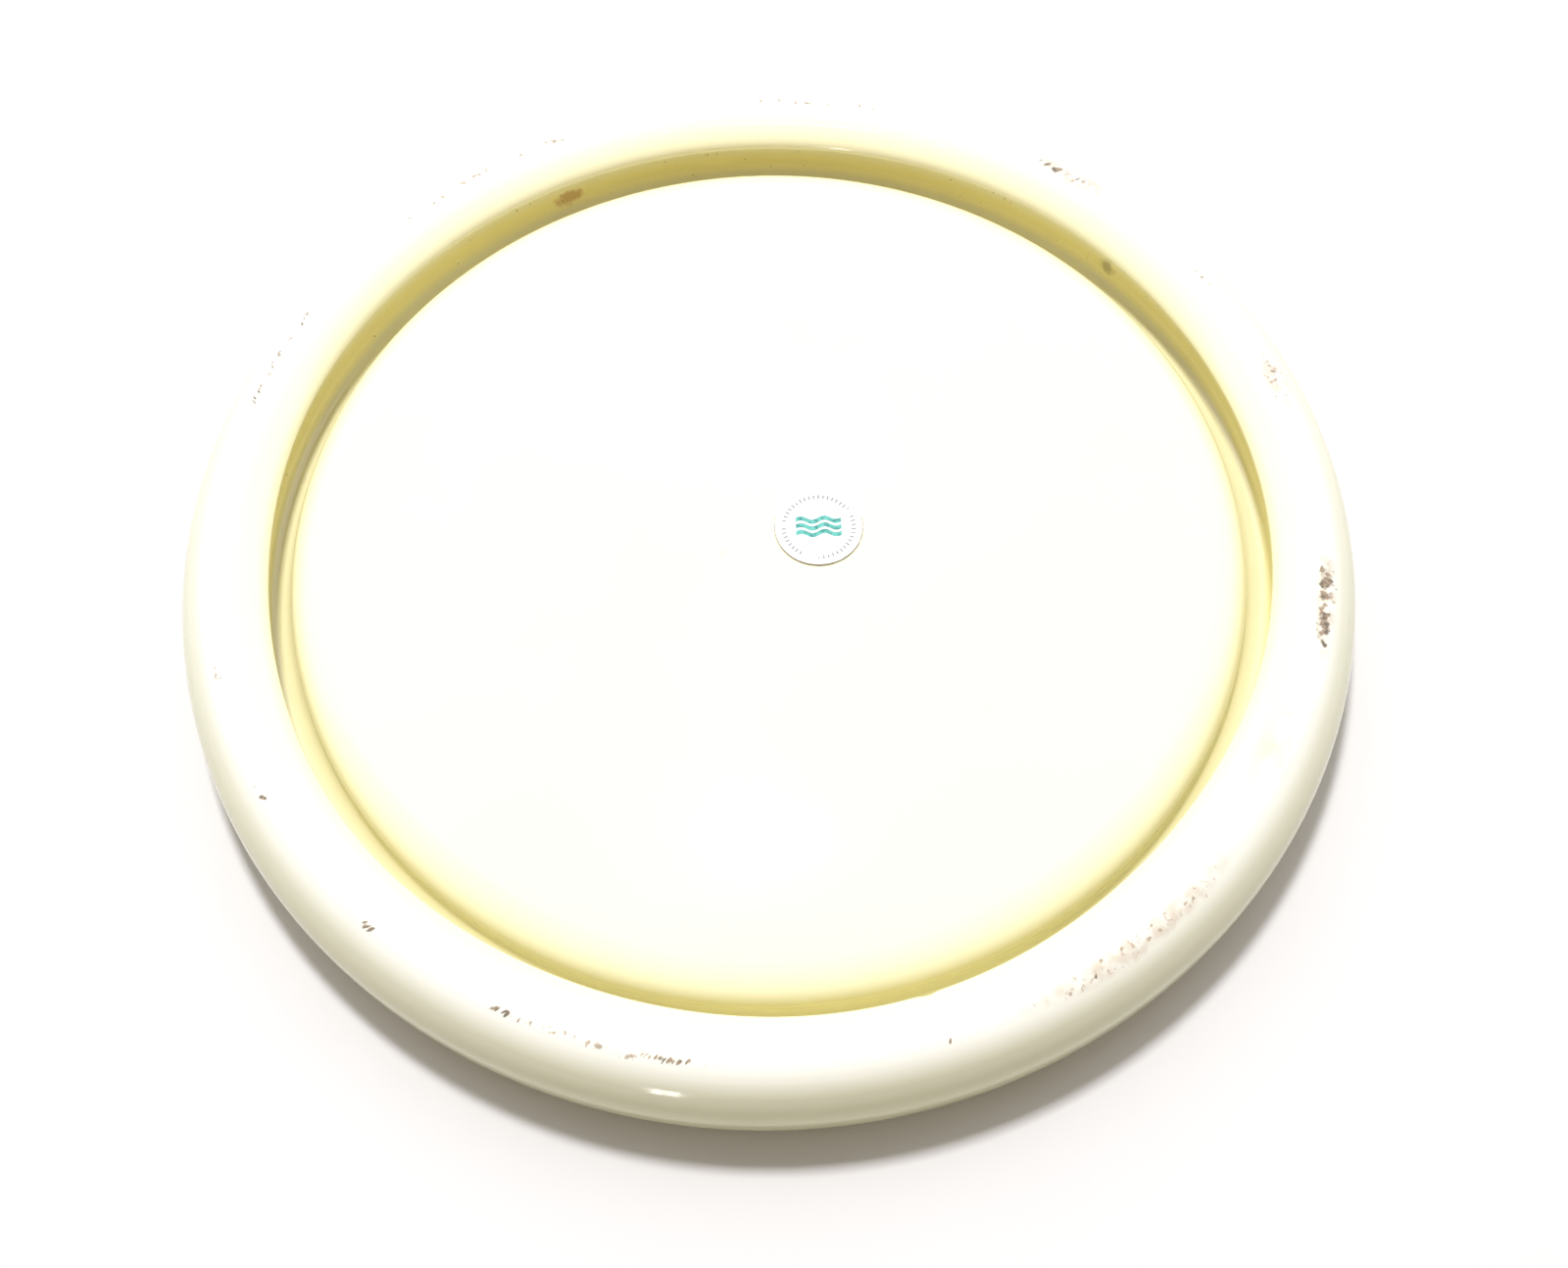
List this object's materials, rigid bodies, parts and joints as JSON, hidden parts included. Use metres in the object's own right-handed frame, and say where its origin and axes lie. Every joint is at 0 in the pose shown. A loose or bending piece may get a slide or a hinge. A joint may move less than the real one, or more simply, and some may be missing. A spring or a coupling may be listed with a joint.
{
  "type": "flying disc",
  "caption": "Round flying disc with a raised flat centre, a channel round it and a fat hollow rolled rim, open underneath, with a small round paper label.",
  "frame": {"origin": "on the disc's axis, in the plane of the flat foot that it rests on", "axes": "+Z along the disc's axis, up through the raised flat; +X towards the side where the label lies"},
  "size_m": [0.27, 0.27, 0.024],
  "materials": {
    "cream_plastic": "glossy, slightly yellowed cream, scuffed along the crest",
    "label_paper": "satin white paper with a small turquoise print"
  },
  "bodies": {
    "root": {"flight_plate": "cream_plastic", "rim_ring": "cream_plastic", "label": "label_paper"}
  },
  "joints": []
}
